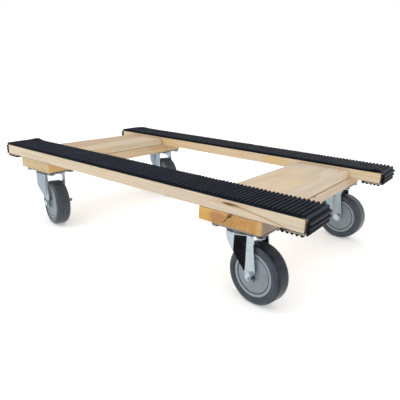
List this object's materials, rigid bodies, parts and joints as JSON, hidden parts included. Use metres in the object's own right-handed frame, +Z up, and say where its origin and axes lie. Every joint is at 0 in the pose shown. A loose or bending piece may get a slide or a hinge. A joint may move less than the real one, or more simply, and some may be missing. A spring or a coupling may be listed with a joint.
{
  "type": "furniture dolly",
  "caption": "Open rectangular hardwood dolly: rubber-capped rails on cross boards, carried on swivel casters, for moving heavy furniture.",
  "frame": {"origin": "on the floor, under the middle of the dolly", "axes": "+X along the two rails, +Y from the near rail to the far rail, +Z up"},
  "size_m": [0.7784, 0.4574, 0.1753],
  "materials": {
    "rail_wood": "bare planed hardwood, pale beige",
    "board_wood": "bare planed hardwood, cream with a reddish heartwood band",
    "bolster_wood": "bare sawn hardwood, golden-brown end grain",
    "pad_rubber": "matt black ribbed rubber",
    "zinc_plate": "bright bluish zinc plating",
    "fastener_steel": "bright zinc plating",
    "hub_plastic": "satin mid-grey plastic",
    "tread_rubber": "semi-gloss dark grey rubber"
  },
  "bodies": {
    "frame": {"near_rail": "rail_wood", "far_rail": "rail_wood", "front_deck_board": "board_wood", "rear_deck_board": "board_wood", "front_bolster": "bolster_wood", "rear_bolster": "bolster_wood", "near_rubber_pad": "pad_rubber", "far_rubber_pad": "pad_rubber", "front_near_top_plate": "zinc_plate", "front_near_swivel_race": "zinc_plate", "front_near_kingpin": "fastener_steel", "front_near_lag_screw_1": "fastener_steel", "front_near_lag_screw_2": "fastener_steel", "front_near_lag_screw_3": "fastener_steel", "front_near_lag_screw_4": "fastener_steel", "front_far_top_plate": "zinc_plate", "front_far_swivel_race": "zinc_plate", "front_far_kingpin": "fastener_steel", "front_far_lag_screw_1": "fastener_steel", "front_far_lag_screw_2": "fastener_steel", "front_far_lag_screw_3": "fastener_steel", "front_far_lag_screw_4": "fastener_steel", "rear_near_top_plate": "zinc_plate", "rear_near_swivel_race": "zinc_plate", "rear_near_kingpin": "fastener_steel", "rear_near_lag_screw_1": "fastener_steel", "rear_near_lag_screw_2": "fastener_steel", "rear_near_lag_screw_3": "fastener_steel", "rear_near_lag_screw_4": "fastener_steel", "rear_far_top_plate": "zinc_plate", "rear_far_swivel_race": "zinc_plate", "rear_far_kingpin": "fastener_steel", "rear_far_lag_screw_1": "fastener_steel", "rear_far_lag_screw_2": "fastener_steel", "rear_far_lag_screw_3": "fastener_steel", "rear_far_lag_screw_4": "fastener_steel"},
    "front_near_caster_fork": {"front_near_fork": "zinc_plate", "front_near_axle_bolt": "fastener_steel", "front_near_axle_nut": "fastener_steel", "front_near_axle_bushing": "fastener_steel"},
    "front_near_wheel": {"front_near_wheel_hub": "hub_plastic", "front_near_tyre": "tread_rubber"},
    "front_far_caster_fork": {"front_far_fork": "zinc_plate", "front_far_axle_bolt": "fastener_steel", "front_far_axle_nut": "fastener_steel", "front_far_axle_bushing": "fastener_steel"},
    "front_far_wheel": {"front_far_wheel_hub": "hub_plastic", "front_far_tyre": "tread_rubber"},
    "rear_near_caster_fork": {"rear_near_fork": "zinc_plate", "rear_near_axle_bolt": "fastener_steel", "rear_near_axle_nut": "fastener_steel", "rear_near_axle_bushing": "fastener_steel"},
    "rear_near_wheel": {"rear_near_wheel_hub": "hub_plastic", "rear_near_tyre": "tread_rubber"},
    "rear_far_caster_fork": {"rear_far_fork": "zinc_plate", "rear_far_axle_bolt": "fastener_steel", "rear_far_axle_nut": "fastener_steel", "rear_far_axle_bushing": "fastener_steel"},
    "rear_far_wheel": {"rear_far_wheel_hub": "hub_plastic", "rear_far_tyre": "tread_rubber"}
  },
  "joints": [
    {"name": "front_near_swivel", "type": "hinge", "parent": "frame", "child": "front_near_caster_fork", "pos_m": [0.2705, -0.1925, 0.1186], "axis": [0, 0, 1], "continuous": true},
    {"name": "front_near_wheel_spin", "type": "hinge", "parent": "front_near_caster_fork", "child": "front_near_wheel", "pos_m": [0.30177, -0.19768, 0.0508], "axis": [0.1633, 0.9866, 0], "continuous": true},
    {"name": "front_far_swivel", "type": "hinge", "parent": "frame", "child": "front_far_caster_fork", "pos_m": [0.2705, 0.1925, 0.1186], "axis": [0, 0, 1], "continuous": true},
    {"name": "front_far_wheel_spin", "type": "hinge", "parent": "front_far_caster_fork", "child": "front_far_wheel", "pos_m": [0.30203, 0.18924, 0.0508], "axis": [0.1028, 0.9947, 0], "continuous": true},
    {"name": "rear_near_swivel", "type": "hinge", "parent": "frame", "child": "rear_near_caster_fork", "pos_m": [-0.265, -0.1925, 0.1186], "axis": [0, 0, 1], "continuous": true},
    {"name": "rear_near_wheel_spin", "type": "hinge", "parent": "rear_near_caster_fork", "child": "rear_near_wheel", "pos_m": [-0.2345, -0.20113, 0.0508], "axis": [0.2723, 0.9622, 0], "continuous": true},
    {"name": "rear_far_swivel", "type": "hinge", "parent": "frame", "child": "rear_far_caster_fork", "pos_m": [-0.265, 0.1925, 0.1186], "axis": [0, 0, 1], "continuous": true},
    {"name": "rear_far_wheel_spin", "type": "hinge", "parent": "rear_far_caster_fork", "child": "rear_far_wheel", "pos_m": [-0.23496, 0.18239, 0.0508], "axis": [0.319, 0.9478, 0], "continuous": true}
  ]
}
